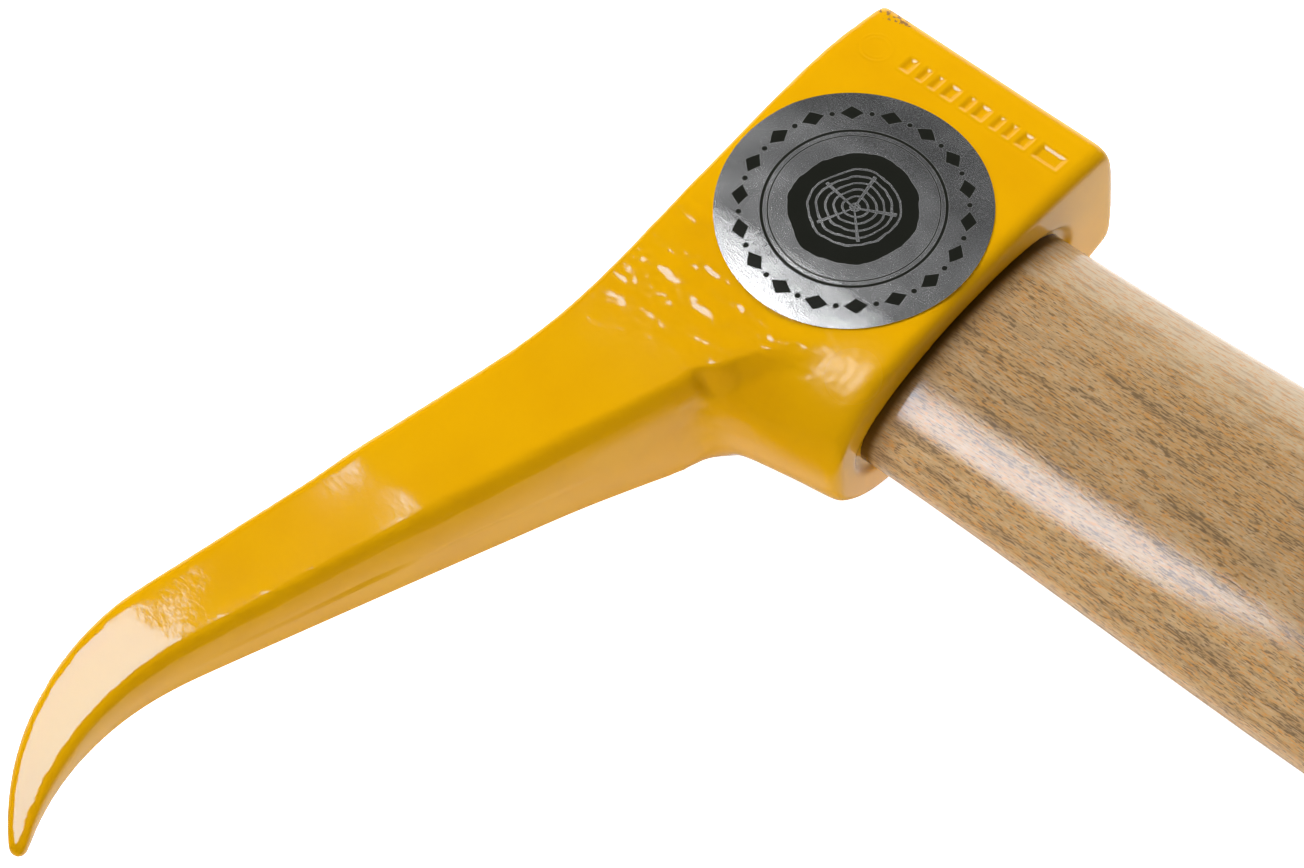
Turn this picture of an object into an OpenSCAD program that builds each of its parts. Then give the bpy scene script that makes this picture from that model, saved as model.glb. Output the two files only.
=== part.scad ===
// Log pick: a forged claw head on an oval ash handle, wedged through its eye.
// Millimetres. The handle runs along +X, the claw points to -Y, the poll to +Y,
// and the tool lies on one cheek, on the plane z = 0, with the eye's axis over y = 0.

/* [Head block] */
// Thickness of the head across its two cheeks
head_t = 30; // [27:0.5:36]
// Depth of the eye block along the handle
eye_depth = 42; // [38:0.5:50]
// Eye centre to the middle of the poll face
poll_reach = 35.2; // [33:0.1:42]
// Radius of the bulge of the poll face
poll_r = 34; // [28:1:80]
// Eye centre to where each cheek turns into the poll face
poll_edge = 32; // [30:0.1:33]
// Rounding between the cheeks and the poll face
poll_edge_r = 1.7; // [0.8:0.1:2.4]
// Radius of the bulge of both cheeks
cheek_r = 163; // [140:1:400]
// Width of the flat land along the middle of each cheek
land_w = 20; // [12:1:24]
// Eye centre to where each cheek stops bending and runs straight on to the claw
cheek_run = 20; // [14:0.5:26]
// How far the crown face falls back at the poll
poll_back = 0.9; // [0:0.1:2]
// Eye centre to where the oval of the front wall starts
nose_start = 10; // [6:0.5:14]
// Eye centre to the front wall, halfway down the wall
nose_reach = 30.5; // [29:0.1:34]
// Lean of the front wall, towards the eye at the handle side, in degrees
nose_lean = 8; // [0:0.5:12]
// Squareness of the oval front wall, where 2 is an ellipse
nose_power = 2.3; // [2:0.1:3]
// Radius of the hollow where the claw's underside meets the front wall
root_r = 3.5; // [3:0.5:6]
// Rounding of the block's edges on the handle side
edge_r = 2.2; // [1:0.1:3]
// Rounding of the edges on the crown side
crown_r = 1; // [0.5:0.1:2]

/* [Eye] */
// Length of the eye at its mouth
eye_len = 47.6; // [44:0.1:50]
// Width of the eye at its mouth
eye_wid = 19; // [17:0.1:21]
// How much longer the eye is at the crown, where the wedge spreads the wood
eye_flare_len = 0.8; // [0:0.1:1.6]
// How much wider the eye is at the crown
eye_flare_wid = 1.4; // [0:0.1:2.4]
// Squareness of the oval eye, where 2 is an ellipse
eye_power = 2.2; // [2:0.1:3]
// Break of the eye's sharp rims
rim = 0.8; // [0.2:0.1:1.2]

/* [Claw] */
// Eye's axis to the start of the claw, on the claw's middle line
claw_out = 47.5; // [46:0.1:50]
// Middle of the block to the start of the claw, towards the crown
claw_back = 16.7; // [15:0.1:18]
// Angle of the straight claw above the square of the handle
claw_angle = 19.5; // [12:0.1:26]
// Length of the straight run
straight = 60.8; // [40:0.1:80]
// Height of the claw where the straight run starts
root_h = 18.7; // [16:0.1:21]
// Height of the claw where the hook starts
hook_h = 12.8; // [9:0.1:15]
// Width of the claw where the straight run starts
root_w = 20.3; // [17:0.1:22]
// Width of the claw where the hook starts
hook_w = 10.9; // [8:0.1:14]
// Radius of the hook, on the middle line
hook_r = 41.9; // [30:0.1:70]
// How far the hook turns, in degrees
hook_turn = 57.9; // [30:0.5:70]
// Rounding of the claw's lower edges, where the straight run starts
claw_edge_r = 2.8; // [1:0.1:3.5]
// How far down the claw's lower side that rounding reaches
claw_edge_deep = 4.8; // [2:0.1:6]
// Eye's axis to where the claw's lower edge turns into a ridge on the cheek
ridge_out = 30.6; // [29:0.1:32]
// Middle of the block to that turn, towards the crown
ridge_back = 1.9; // [0:0.1:4]
// Angle of the fading ridge above the square of the handle
ridge_angle = 40; // [30:1:45]
// Height of the blunt point
tip_h = 2.2; // [0.8:0.1:3]
// Width of the blunt point
tip_w = 2.4; // [0.8:0.1:3]
// Length of the rounding of the point
tip_r = 1.2; // [0.6:0.1:2]

/* [Handle] */
// Length of the whole handle, with its tenon
handle_len = 380; // [300:5:500]
// Width of the handle just under the eye
neck_w = 45; // [40:0.1:46]
// Width of the handle at its swelling under the head
swell_w = 48.6; // [40:0.1:56]
// Thickness of the handle at its swelling
swell_t = 25; // [20:0.1:32]
// Width of the handle at the grip
grip_w = 36; // [28:0.1:42]
// Thickness of the handle at the grip
grip_t = 24; // [20:0.1:30]
// Width of the knob at the butt
knob_w = 46; // [36:0.1:52]
// Thickness of the knob at the butt
knob_t = 27; // [22:0.1:29.8]
// How far the knob reaches forward, to the claw's side
knob_forward = 7; // [0:0.5:14]
// How far the tenon stands proud of the crown
proud = 1.8; // [0:0.1:4]
// Clearance of the tenon at each side of the eye
tenon_gap = 0.06; // [0.02:0.01:0.3]

/* [Wedges] */
// Depth of the wooden wedge
wedge_d = 32; // [20:1:38]
// Thickness of the wooden wedge at the crown
wedge_t = 4.6; // [3:0.1:6]
// Thickness of its thin edge
wedge_edge = 1.2; // [0.8:0.1:2]
// How far the wedge stays short of the tenon's ends
wedge_short = 2.2; // [1:0.1:6]
// Outside diameter of the ring wedge at the crown
ring_od = 14; // [10:0.5:16]
// Wall of the ring wedge at the crown
ring_wall = 2.2; // [1.6:0.1:3]
// Depth of the ring wedge
ring_d = 11; // [6:0.5:16]
// Clearance of each wedge in its cut
wedge_gap = 0.04; // [0.02:0.01:0.2]

/* [Label] */
// Diameter of the round label
label_d = 40; // [30:0.5:40]
// Thickness of the label
label_t = 0.2; // [0.1:0.05:0.4]
// Label centre ahead of the eye's axis, towards the poll
label_y = 1.5; // [0:0.1:2]

/* [Hidden] */

half_t = head_t/2;
crown_x = -eye_depth/2;
mouth_x = eye_depth/2;
land_z = half_t + (land_w/2)*(land_w/2)/(2*cheek_r);

// The claw's middle line: a straight run, then one arc that turns back to the handle.
claw_root = [-claw_back, -claw_out];
hook_len = hook_r*hook_turn*PI/180;

// Smooth step from 0 at a to 1 at b.
function ease(v, a, b) = let (q = min(1, max(0, (v - a)/(b - a)))) q*q*(3 - 2*q);
function mix(a, b, q) = a + (b - a)*q;
// Point on a cubic from p to q that leaves along m and arrives along n.
function cubic(p, m, q, n, s) =
    p*(2*s*s*s - 3*s*s + 1) + m*(s*s*s - 2*s*s + s) + q*(3*s*s - 2*s*s*s) + n*(s*s*s - s*s);

// Claw: heading, place, height and half width at a distance s along its middle line.
function heading(s) = s < straight ? claw_angle : claw_angle - (s - straight)/hook_r*180/PI;
function along(s) = let (h = heading(s), d = min(s, straight))
    claw_root + d*[-sin(claw_angle), -cos(claw_angle)]
    + (s < straight ? [0, 0]
       : hook_r*[cos(claw_angle) - cos(h), sin(h) - sin(claw_angle)]);
function blunt(s) = let (u = max(0, (s - straight - hook_len + tip_r)/tip_r))
    sqrt(max(0.05, 1 - u*u));
function claw_h(s) = s < straight ? mix(root_h, hook_h, s/straight)
    : blunt(s)*(hook_h - (hook_h - tip_h)*pow((s - straight)/hook_len, 1.5));
function claw_w(s) = s < 0 ? (root_w - s*(root_w - hook_w)/straight)/2
    : s < straight ? mix(root_w, hook_w, s/straight)/2
    : blunt(s)*(hook_w - (hook_w - tip_w)*pow((s - straight)/hook_len, 1.12))/2;
function across(s) = [cos(heading(s)), -sin(heading(s))];
function claw_top(s) = along(s) - across(s)*claw_h(s)/2;
function claw_low(s) = along(s) + across(s)*claw_h(s)/2;

// Outline of the block's crown side, seen from the cheek, and of its handle side.
top_lean = claw_angle - atan((root_h - hook_h)/2/straight);
low_lean = claw_angle + atan((root_h - hook_h)/2/straight) + 1.5;
crown_from = [crown_x - 0.3, 4];
crown_to = claw_top(0);
crown_span = crown_from[1] - crown_to[1];
function crown_line(s) = cubic(crown_from, crown_span*[0, -1],
    crown_to, crown_span*[-sin(top_lean), -cos(top_lean)], s);
function poll_round(y) = let (c = y - poll_reach + 2) c > 0 ? 2 - sqrt(4 - min(c, 2)*min(c, 2)) : 0;
function crown_at(y) = crown_from[0] + poll_back*pow(max(0, y - 19)/13, 2) + poll_round(y);

// Front wall: its distance ahead of the eye, and the hollow that joins it to the claw.
function front(x) = nose_reach + tan(nose_lean)*(mouth_x/2 - x);
wall_dir = [1, tan(nose_lean)]/norm([1, tan(nose_lean)]);
low_dir = [cos(90 - low_lean), sin(90 - low_lean)];
// Where the claw's low line, run back, meets the wall line.
meet = let (p = claw_low(0), w0 = [0, -front(0)],
    det = low_dir[0]*wall_dir[1] - low_dir[1]*wall_dir[0],
    d = w0 - p, k = (d[0]*wall_dir[1] - d[1]*wall_dir[0])/det) p + k*low_dir;
root_turn = acos(low_dir*wall_dir);
root_tan = root_r*tan(root_turn/2);
root_a = meet + root_tan*wall_dir;
root_b = meet - root_tan*low_dir;
root_c = root_a + root_r*[wall_dir[1], -wall_dir[0]];
function root_arc(q) = let (a = atan2(root_a[1] - root_c[1], root_a[0] - root_c[0]))
    root_c + root_r*[cos(a + q*root_turn), sin(a + q*root_turn)];
toe = [mouth_x - edge_r, -front(mouth_x - edge_r)];
toe_c = toe + edge_r*[0, 1];
function toe_arc(q) = toe_c + edge_r*[cos(90*q), -sin(90*q)];

// Half thickness of the head at a point of the side view.
function cheek(y) = y < -cheek_run
    ? land_z + (cheek_run*cheek_run/2 + y*cheek_run)/cheek_r
    : min(half_t, land_z - y*y/(2*cheek_r));
corner_t = cheek(poll_edge) - poll_edge_r;
corner_y = poll_reach - poll_r + sqrt(pow(poll_r - poll_edge_r, 2) - corner_t*corner_t);
corner_a = asin(corner_t/(poll_r - poll_edge_r));
function poll(y) = y < corner_y ? half_t : y > corner_y + poll_edge_r*cos(corner_a)
    ? sqrt(max(0, poll_r*poll_r - pow(y - (poll_reach - poll_r), 2)))
    : corner_t + sqrt(poll_edge_r*poll_edge_r - pow(y - corner_y, 2));
function nose(x, y) = let (k = (-y - nose_start)/(front(x) - nose_start))
    half_t*pow(max(0, 1 - pow(limit(k, 0, 1), nose_power)), 1/nose_power);
// The claw's flank runs on into the block as far as a ridge, and falls off below it.
function low_x(y) = claw_low(0)[0] + (y - claw_low(0)[1])*low_dir[0]/low_dir[1];
function ridge_x(y) = y > -ridge_out ? (y + ridge_out)*tan(ridge_angle) - ridge_back
    : low_x(y) - ridge_back - low_x(-ridge_out);
function ridge_fall(y) = claw_edge_r + 0.35*(y + ridge_out);
function blade(x, y) = let (s = ([x, y] - claw_root)*[-sin(claw_angle), -cos(claw_angle)])
    mix(cheek(y), claw_w(s), ease(s, -26, 9));
function thick(x, y) = y > 0 ? min(cheek(y), poll(y))
    : mix(min(nose(x, y), cheek(y)), blade(x, y),
          ease(ridge_x(y) - x, -max(claw_edge_r, ridge_fall(y)), 0));

// Stations of the head: each is a line from the crown side to the handle side.
poll_y = concat([for (q = [0.1:0.3:1]) poll_reach - poll_r*(1 - cos(q*corner_a))],
    [for (q = [0.1:0.3:1]) corner_y + poll_edge_r*cos(mix(corner_a, 84, q))]);
poll_lines = [for (y = poll_y) [[crown_at(y), y], [mouth_x - poll_round(y), y]]];
cheek_lines = [for (y = [31, 26, 21, 15, 9, 4]) [[crown_at(y), y], [mouth_x, y]]];
function fan(n, s0, s1, low) = [for (i = [1:n]) [crown_line(mix(s0, s1, i/n)), low[i - 1]]];
fan_lines = concat(
    fan(3, 0, 0.28, [for (y = [0, -5, -10]) [mouth_x, y]]),
    fan(5, 0.28, 0.42, [for (i = [1:5]) [mouth_x, mix(-10, toe_c[1], i/5)]]),
    fan(5, 0.42, 0.5, [for (i = [1:5]) toe_arc(i/5)]),
    fan(6, 0.5, 0.66, [for (i = [1:6]) mix(toe, root_a, i/6)]),
    fan(8, 0.66, 0.84, [for (i = [1:8]) root_arc(i/8)]),
    fan(4, 0.84, 1, [for (i = [1:4]) mix(root_b, claw_low(0), i/4)]));
claw_s = concat([for (i = [1:7]) straight*i/7],
    [for (i = [1:13]) straight + (hook_len - tip_r)*i/13],
    [for (a = [0.5, 0.8, 0.95, 1]) straight + hook_len - tip_r*(1 - a)]);

// One half of a station as [part of the line's length, half thickness]. Its points are
// spread so that the same ones follow the crown's rounding, the ridge, and the low edge.
round_n = 4;
n1 = 7;
n2 = 8;
n3 = 10;
function cross(g0, g1) = g1 == g0 ? 1 : -g0/(g1 - g0);
function ridge_gap(v) = v[0] - ridge_x(v[1]);
function limit(v, low, high) = max(low, min(high, v));
function section(p, q, field, edge, deep, ridge = true) =
    let (len = norm(q - p), dir = (q - p)/len, rc = min(crown_r, field(p)*0.8, len*0.3),
         rb = min(edge, field(q), len*0.4), last = 1 - min(edge, len*0.4)/len,
         rd = min(deep, 0.65*field(q)),
         m1 = ridge ? limit(cross(ridge_gap(p), ridge_gap(q)), 0.5, last) : last,
         m2 = limit(cross(ridge_gap(p) - ridge_fall(p[1]), ridge_gap(q) - ridge_fall(q[1])),
                    mix(m1, 1, ridge ? 0.3 : 0.7), mix(m1, 1, 0.7)),
         at = concat(
            [for (i = [1:n1]) mix(rc/len, m1, i/n1)],
            [for (i = [1:n2]) mix(m1, m2, i/n2)],
            [for (i = [1:n3]) mix(m2, 1, pow(sin(90*i/n3), 2/nose_power))]))
    concat(
        [for (i = [0:round_n]) let (a = 90*i/round_n, d = rc*(1 - cos(a)))
            [d/len, field(p + d*dir) - rc + rc*sin(a)]],
        [for (k = at) let (e = max(0, rb - (1 - k)*len))
            [k, max(0.02, field(p + k*len*dir) - rd + rd*sqrt(max(0, 1 - pow(e/rb, 2))))]]);
// A station as a closed ring: down the lower cheek, back up the upper cheek.
function ring(p, q, side) = concat(
    [for (s = side) let (v = mix(p, q, s[0])) [v[0], v[1], half_t - s[1]]],
    [for (i = [len(side) - 1:-1:0]) let (s = side[i], v = mix(p, q, s[0]))
        [v[0], v[1], half_t + s[1]]]);

// Skin over a list of rings that all have the same number of points. Each quad is
// split along its shorter diagonal.
module skin(rings) {
    n = len(rings[0]);
    m = len(rings);
    polyhedron(
        points = [for (r = rings) each r],
        faces = concat(
            [[for (i = [0:n - 1]) i]],
            [for (j = [0:m - 2], i = [0:n - 1])
                let (k = (i + 1)%n, a = j*n + i, b = a + n, c = (j + 1)*n + k, d = j*n + k)
                each norm(rings[j][i] - rings[j + 1][k]) < norm(rings[j + 1][i] - rings[j][k])
                    ? [[a, b, c], [a, c, d]] : [[a, b, d], [b, c, d]]],
            [[for (i = [n - 1:-1:0]) (m - 1)*n + i]]),
        convexity = 6);
}

// Oval ring square to X, with half length a along Y and half width b along Z.
oval_n = 48;
function oval(x, a, b, power, y0 = 0) = [for (i = [0:oval_n - 1]) let (t = 360*i/oval_n)
    [x, y0 + a*sign(cos(t))*pow(abs(cos(t)), 2/power),
     half_t + b*sign(sin(t))*pow(abs(sin(t)), 2/power)]];
// Half length and half width of the eye at x.
function eye_a(x) = (eye_len + eye_flare_len*(mouth_x - x)/eye_depth)/2;
function eye_b(x) = (eye_wid + eye_flare_wid*(mouth_x - x)/eye_depth)/2;

module eye_hole() {
    skin([for (s = [[crown_x - 4, rim], [crown_x, rim], [crown_x + rim, 0],
                    [mouth_x - rim, 0], [mouth_x, rim], [mouth_x + 4, rim]])
        oval(s[0], eye_a(s[0]) + s[1], eye_b(s[0]) + s[1], eye_power)]);
}

// Sections of the head on a line l from crown to handle side: of the block alone, and of the
// claw alone. Where the claw leaves the front wall, the one is blended into the other.
function block_side(l, edge) = section(l[0], l[1], function (v) thick(v[0], v[1]), edge, edge);
function claw_side(l, edge) =
    section(l[0], l[1], function (v) blade(v[0], v[1]), edge, claw_edge_deep, false);
wall_last = 18;
blend_from = 12;
blend_to = 26;

module head() {
    color("#ECAE00") difference() {
        skin(concat(
            [for (l = concat(poll_lines, cheek_lines)) ring(l[0], l[1], block_side(l, edge_r))],
            [for (i = [0:len(fan_lines) - 1]) let (l = fan_lines[i])
                ring(l[0], l[1], mix(block_side([l[0], i > wall_last ? root_a : l[1]], edge_r),
                                     claw_side(l, claw_edge_r), ease(i, blend_from, blend_to)))],
            [for (s = claw_s) let (l = [claw_top(s), claw_low(s)])
                ring(l[0], l[1], s < 12 ? claw_side(l, claw_edge_r)
                    : section(l[0], l[1], function (v) claw_w(s), claw_edge_r*claw_h(s)/root_h,
                              claw_edge_deep, false))]));
        eye_hole();
    }
}

// Handle: half width, half thickness and forward set at x, eased between named stations.
tenon_x = crown_x - proud;
butt_x = tenon_x + handle_len;
function path(x, list) = let (i = [for (k = [0:len(list) - 2]) if (x >= list[k][0]) k],
    k = i[len(i) - 1], q = ease(x, list[k][0], list[k + 1][0])) mix(list[k][1], list[k + 1][1], q);
handle_a = [[mouth_x, neck_w/2], [mouth_x + 75, swell_w/2], [mouth_x + 205, grip_w/2],
            [butt_x - 70, grip_w/2 + 1], [butt_x - 16, knob_w/2], [butt_x, knob_w/2 - 1.5]];
handle_b = [[mouth_x, eye_wid/2 - tenon_gap], [mouth_x + 90, swell_t/2], [mouth_x + 205, grip_t/2],
            [butt_x - 70, grip_t/2], [butt_x - 16, knob_t/2], [butt_x, knob_t/2 - 1]];
handle_y = [[mouth_x, 0], [mouth_x + 60, 0.3], [mouth_x + 200, -1.5], [butt_x - 80, 0.5],
            [butt_x - 10, -knob_forward], [butt_x, -knob_forward - 0.5]];
butt_r = 4;

module handle() {
    tenon = [for (s = [[tenon_x, 1], [crown_x, 0], [mouth_x - 14, 0]])
        oval(s[0], eye_a(s[0]) - tenon_gap - s[1]*0.2, eye_b(s[0]) - tenon_gap - s[1]*0.2, eye_power)];
    shaft_n = 34;
    shaft = [for (i = [0:shaft_n]) let (x = mix(mouth_x, butt_x - butt_r, i/shaft_n))
        oval(x, path(x, handle_a), path(x, handle_b), eye_power, path(x, handle_y))];
    butt = [for (a = [22.5:22.5:67.5]) let (x = butt_x - butt_r*(1 - sin(a)), c = butt_r*(1 - cos(a)))
        oval(x, path(x, handle_a) - c, path(x, handle_b) - c, eye_power, path(x, handle_y))];
    color("#BE9664") difference() {
        skin(concat(tenon, shaft, butt,
            [oval(butt_x, knob_w/2 - 1.5 - butt_r, knob_t/2 - 1 - butt_r, eye_power, -knob_forward - 0.5)]));
        wedge_body(wedge_gap, eye_len + 4);
        ring_body(wedge_gap);
    }
}

// Taper of the wooden wedge, cut square across the tenon's long side.
module wedge_body(gap, w) {
    over = 1;
    slope = (wedge_t - wedge_edge)/2/wedge_d;
    translate([tenon_x, w/2, half_t]) rotate([90, 0, 0]) linear_extrude(w)
        polygon([[gap > 0 ? -over : 0, wedge_t/2 + gap + (gap > 0 ? over*slope : 0)],
                 [wedge_d + gap, wedge_edge/2 + gap], [wedge_d + gap, -wedge_edge/2 - gap],
                 [gap > 0 ? -over : 0, -wedge_t/2 - gap - (gap > 0 ? over*slope : 0)]]);
}

// Ring wedge: its wall thins to an edge, inside and outside.
module ring_body(gap) {
    over = gap > 0 ? 1 : 0;
    r1 = ring_od/2 + gap;
    r0 = ring_od/2 - ring_wall - gap;
    mid = (r0 + r1)/2;
    translate([tenon_x, 0, half_t]) rotate([0, 90, 0]) rotate_extrude($fn = 64)
        polygon([[r0, -over], [r1, -over], [r1, 0],
                 [mid + 0.4 + gap, ring_d + gap], [mid - 0.4 - gap, ring_d + gap], [r0, 0]]);
}

module wooden_wedge() {
    color("#D8BC8C") difference() {
        wedge_body(0, 2*(eye_a(tenon_x) - wedge_short));
        ring_body(wedge_gap);
    }
}

module ring_wedge() {
    color("#9A9C9E") ring_body(0);
}

// Foil label: a disc that lies on the bulged cheek.
label_n = 24;
module label() {
    lift = 0.01;
    span = label_d + 2;
    y_at = [for (i = [0:label_n]) label_y + span*(i/label_n - 0.5)];
    color("#B4B6B8") intersection() {
        translate([0, label_y, half_t]) cylinder(d = label_d, h = head_t, $fn = 128);
        translate([-label_d, 0, half_t]) rotate([90, 0, 90]) linear_extrude(2*label_d)
            polygon(concat([for (y = y_at) [y, cheek(y) + lift]],
                           [for (i = [label_n:-1:0]) [y_at[i], cheek(y_at[i]) + lift + label_t]]));
    }
}

head();
handle();
wooden_wedge();
ring_wedge();
label();
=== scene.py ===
# %% [markdown]
# A log pick: a hand tool that forest workers hook into a log to roll or drag it.
# Its head is one forging in glossy orange-yellow enamel, wedged on an oval ash handle.
# The shapes come from a CAD model, loaded here as a fixed frame in metres. This lesson
# gives each part of the tool its finished surface: enamel, lacquered ash, foil and steel.

# %% Load the frame
import math

import bmesh
import bpy
import numpy as np
from mathutils import Matrix, Vector, noise
from mathutils.bvhtree import BVHTree


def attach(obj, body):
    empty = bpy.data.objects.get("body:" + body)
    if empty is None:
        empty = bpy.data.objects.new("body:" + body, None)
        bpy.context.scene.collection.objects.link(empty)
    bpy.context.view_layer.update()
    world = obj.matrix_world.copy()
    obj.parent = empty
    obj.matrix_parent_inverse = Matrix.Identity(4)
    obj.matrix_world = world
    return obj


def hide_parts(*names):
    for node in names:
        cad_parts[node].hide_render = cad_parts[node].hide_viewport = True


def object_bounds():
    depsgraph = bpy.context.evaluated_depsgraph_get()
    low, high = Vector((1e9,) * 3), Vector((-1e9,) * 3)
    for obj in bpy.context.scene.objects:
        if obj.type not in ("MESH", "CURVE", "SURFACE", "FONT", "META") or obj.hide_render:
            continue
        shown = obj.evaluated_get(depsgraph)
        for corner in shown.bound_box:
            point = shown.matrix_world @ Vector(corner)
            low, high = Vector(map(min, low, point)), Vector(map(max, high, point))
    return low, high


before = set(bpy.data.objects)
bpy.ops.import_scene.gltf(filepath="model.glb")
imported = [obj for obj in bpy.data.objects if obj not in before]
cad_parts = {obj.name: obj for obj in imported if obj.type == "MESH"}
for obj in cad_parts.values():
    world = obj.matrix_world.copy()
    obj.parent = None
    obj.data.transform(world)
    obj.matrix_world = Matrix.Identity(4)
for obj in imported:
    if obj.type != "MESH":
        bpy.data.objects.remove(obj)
cad_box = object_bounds()
scene = bpy.context.scene
MM = 0.001
print("CAD box in mm:", [[round(v / MM, 1) for v in corner] for corner in cad_box])

# %% [markdown]
# The camera. The photograph was taken with a long lens from above the claw's side, with the
# handle running out of the picture. The place and the three axes below were solved from the
# square corners of the head, so that the model's edges fall on the photograph's edges.

# %% Camera
CAMERA_PLACE = (0.40578, -0.46327, 0.98171)
CAMERA_RIGHT = (0.768, 0.63883, -0.04556)
CAMERA_UP = (-0.52794, 0.67176, 0.51963)
CAMERA_BACK = (0.36256, -0.37502, 0.85318)
FOCAL_LENGTH, SENSOR_WIDTH = 220.86, 36

lens = bpy.data.cameras.new("camera")
lens.sensor_fit = "HORIZONTAL"
lens.sensor_width = SENSOR_WIDTH
lens.lens = FOCAL_LENGTH
lens.clip_start, lens.clip_end = 0.05, 50
camera = bpy.data.objects.new("camera", lens)
camera.matrix_world = Matrix([
    [*row] for row in zip(CAMERA_RIGHT, CAMERA_UP, CAMERA_BACK, CAMERA_PLACE)] + [[0, 0, 0, 1]])
scene.collection.objects.link(camera)
scene.camera = camera
scene.view_settings.view_transform = "Standard"
print("Camera at", [round(v, 3) for v in camera.location])

# %% [markdown]
# A node tree is a row of boxes joined by wires. These helpers keep that short: `add` puts one
# box in a tree with its values and wires, `sums` does one sum, `fade` eases a wire from one
# level to another, `blend_colors` mixes two colours, and `new_material` starts a material.


# %% Helpers for node trees
def add(tree, kind, out=0, **values):
    """Adds a node. A value may be a plain value, or another node's output to wire in."""
    node = tree.nodes.new("ShaderNode" + kind)
    for name, value in values.items():
        if hasattr(node, name) and name not in node.inputs:
            setattr(node, name, value)
            continue
        socket = node.inputs[int(name[1:])] if name[:1] == "i" and name[1:].isdigit() \
            else node.inputs[name.replace("_", " ")]
        if isinstance(value, bpy.types.NodeSocket):
            tree.links.new(value, socket)
        else:
            socket.default_value = value
    return node.outputs[out]


def sums(tree, operation, a, b=0.0, c=0.0):
    """One step of arithmetic on wires or numbers."""
    return add(tree, "Math", operation=operation, i0=a, i1=b, i2=c)


def fade(tree, value, low, high, out_low=0.0, out_high=1.0):
    """Eases a wire from out_low at low to out_high at high."""
    return add(tree, "MapRange", interpolation_type="SMOOTHSTEP", Value=value,
               From_Min=low, From_Max=high, To_Min=out_low, To_Max=out_high)


def blend_colors(tree, factor, a, b):
    """Mixes two colours."""
    node = tree.nodes.new("ShaderNodeMix")
    node.data_type = "RGBA"
    for socket, value in zip((node.inputs[0], node.inputs[6], node.inputs[7]), (factor, a, b)):
        if isinstance(value, bpy.types.NodeSocket):
            tree.links.new(value, socket)
        else:
            socket.default_value = (*value, 1) if isinstance(value, tuple) else value
    return node.outputs[2]


def new_material(name):
    """An empty material with its shader and output; the shader's constants are set by name."""
    material = bpy.data.materials.new(name)
    material.use_nodes = True
    tree = material.node_tree
    tree.nodes.clear()
    shader = tree.nodes.new("ShaderNodeBsdfPrincipled")
    output = tree.nodes.new("ShaderNodeOutputMaterial")
    tree.links.new(shader.outputs[0], output.inputs[0])
    return material, tree, shader


# %% [markdown]
# The floor. A white sheet of paper lies under the tool. Light Path lets the camera see the
# paper as white, while it still takes the tool's soft shadow. The floor is left out of the
# mirror images in the paint, because a sheet that glows alike all over would flatten them.
# The room's light, next, holds the sweep of paper that they show instead.

# %% Floor
FLOOR_WHITE = 0.82
FLOOR_GLOW = 0.95
FLOOR_RADIUS, FLOOR_DROP = 4, 0.0002

mesh = bpy.data.meshes.new("floor")
bm = bmesh.new()
bmesh.ops.create_circle(bm, cap_ends=True, segments=64, radius=FLOOR_RADIUS)
bmesh.ops.translate(bm, vec=(0.1, 0, -FLOOR_DROP), verts=bm.verts)
bm.to_mesh(mesh)
bm.free()
floor = bpy.data.objects.new("floor", mesh)
scene.collection.objects.link(floor)
paper, tree, shader = new_material("white paper")
shader.inputs["Base Color"].default_value = (FLOOR_WHITE,) * 3 + (1,)
shader.inputs["Roughness"].default_value = 0.9
shader.inputs["Specular IOR Level"].default_value = 0.1
shader.inputs["Emission Color"].default_value = (1, 1, 1, 1)
path = tree.nodes.new("ShaderNodeLightPath")
seen = sums(tree, "MAXIMUM", path.outputs["Is Camera Ray"], path.outputs["Is Glossy Ray"])
seen = sums(tree, "MAXIMUM", seen, path.outputs["Is Transmission Ray"])
tree.links.new(sums(tree, "MULTIPLY", seen, FLOOR_GLOW), shader.inputs["Emission Strength"])
mesh.materials.append(paper)
floor.visible_glossy = False
print("Floor is", round(floor.dimensions.x, 1), "m wide")

# %% [markdown]
# The room. The tool lay in a dark room, on a white sweep that runs on beneath and behind it
# and ends in a pale wall. Glossy paint shows such a room as broad soft bands, so the room is
# a world shader that is bright or dark by direction: the sweep below, dimmer right under the
# tool, and the wall low down behind it.

# %% Room light
ROOM_DARK, ROOM_WALL, ROOM_SWEEP = 0.055, 1.8, 1.2
WALL_TOWARDS = (-0.62, 0.78, 0.0)
SWEEP_TOWARDS = (-0.25, 0.45, -0.86)

world = bpy.data.worlds.new("studio")
scene.world = world
world.use_nodes = True
tree = world.node_tree
tree.nodes.clear()
way = add(tree, "TexCoord")
height = add(tree, "SeparateXYZ", out=2, Vector=way)
facing = add(tree, "VectorMath", operation="DOT_PRODUCT", out=1, i0=way, i1=WALL_TOWARDS)
beneath = add(tree, "VectorMath", operation="DOT_PRODUCT", out=1, i0=way, i1=SWEEP_TOWARDS)
sweep = fade(tree, beneath, 0.15, 0.85, ROOM_DARK, ROOM_SWEEP)
sweep = sums(tree, "MULTIPLY", sweep, fade(tree, height, -0.98, -0.87, 0.3, 1.0))
wall_top = fade(tree, height, 0.25, 0.5, ROOM_WALL, 0.0)
wall = sums(tree, "MULTIPLY", fade(tree, facing, 0.25, 0.75), wall_top)
level = sums(tree, "MAXIMUM", sweep, wall)
backdrop = tree.nodes.new("ShaderNodeBackground")
tree.links.new(level, backdrop.inputs["Strength"])
output = tree.nodes.new("ShaderNodeOutputWorld")
tree.links.new(backdrop.outputs[0], output.inputs[0])
print("Room light:", len(tree.nodes), "nodes")

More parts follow.
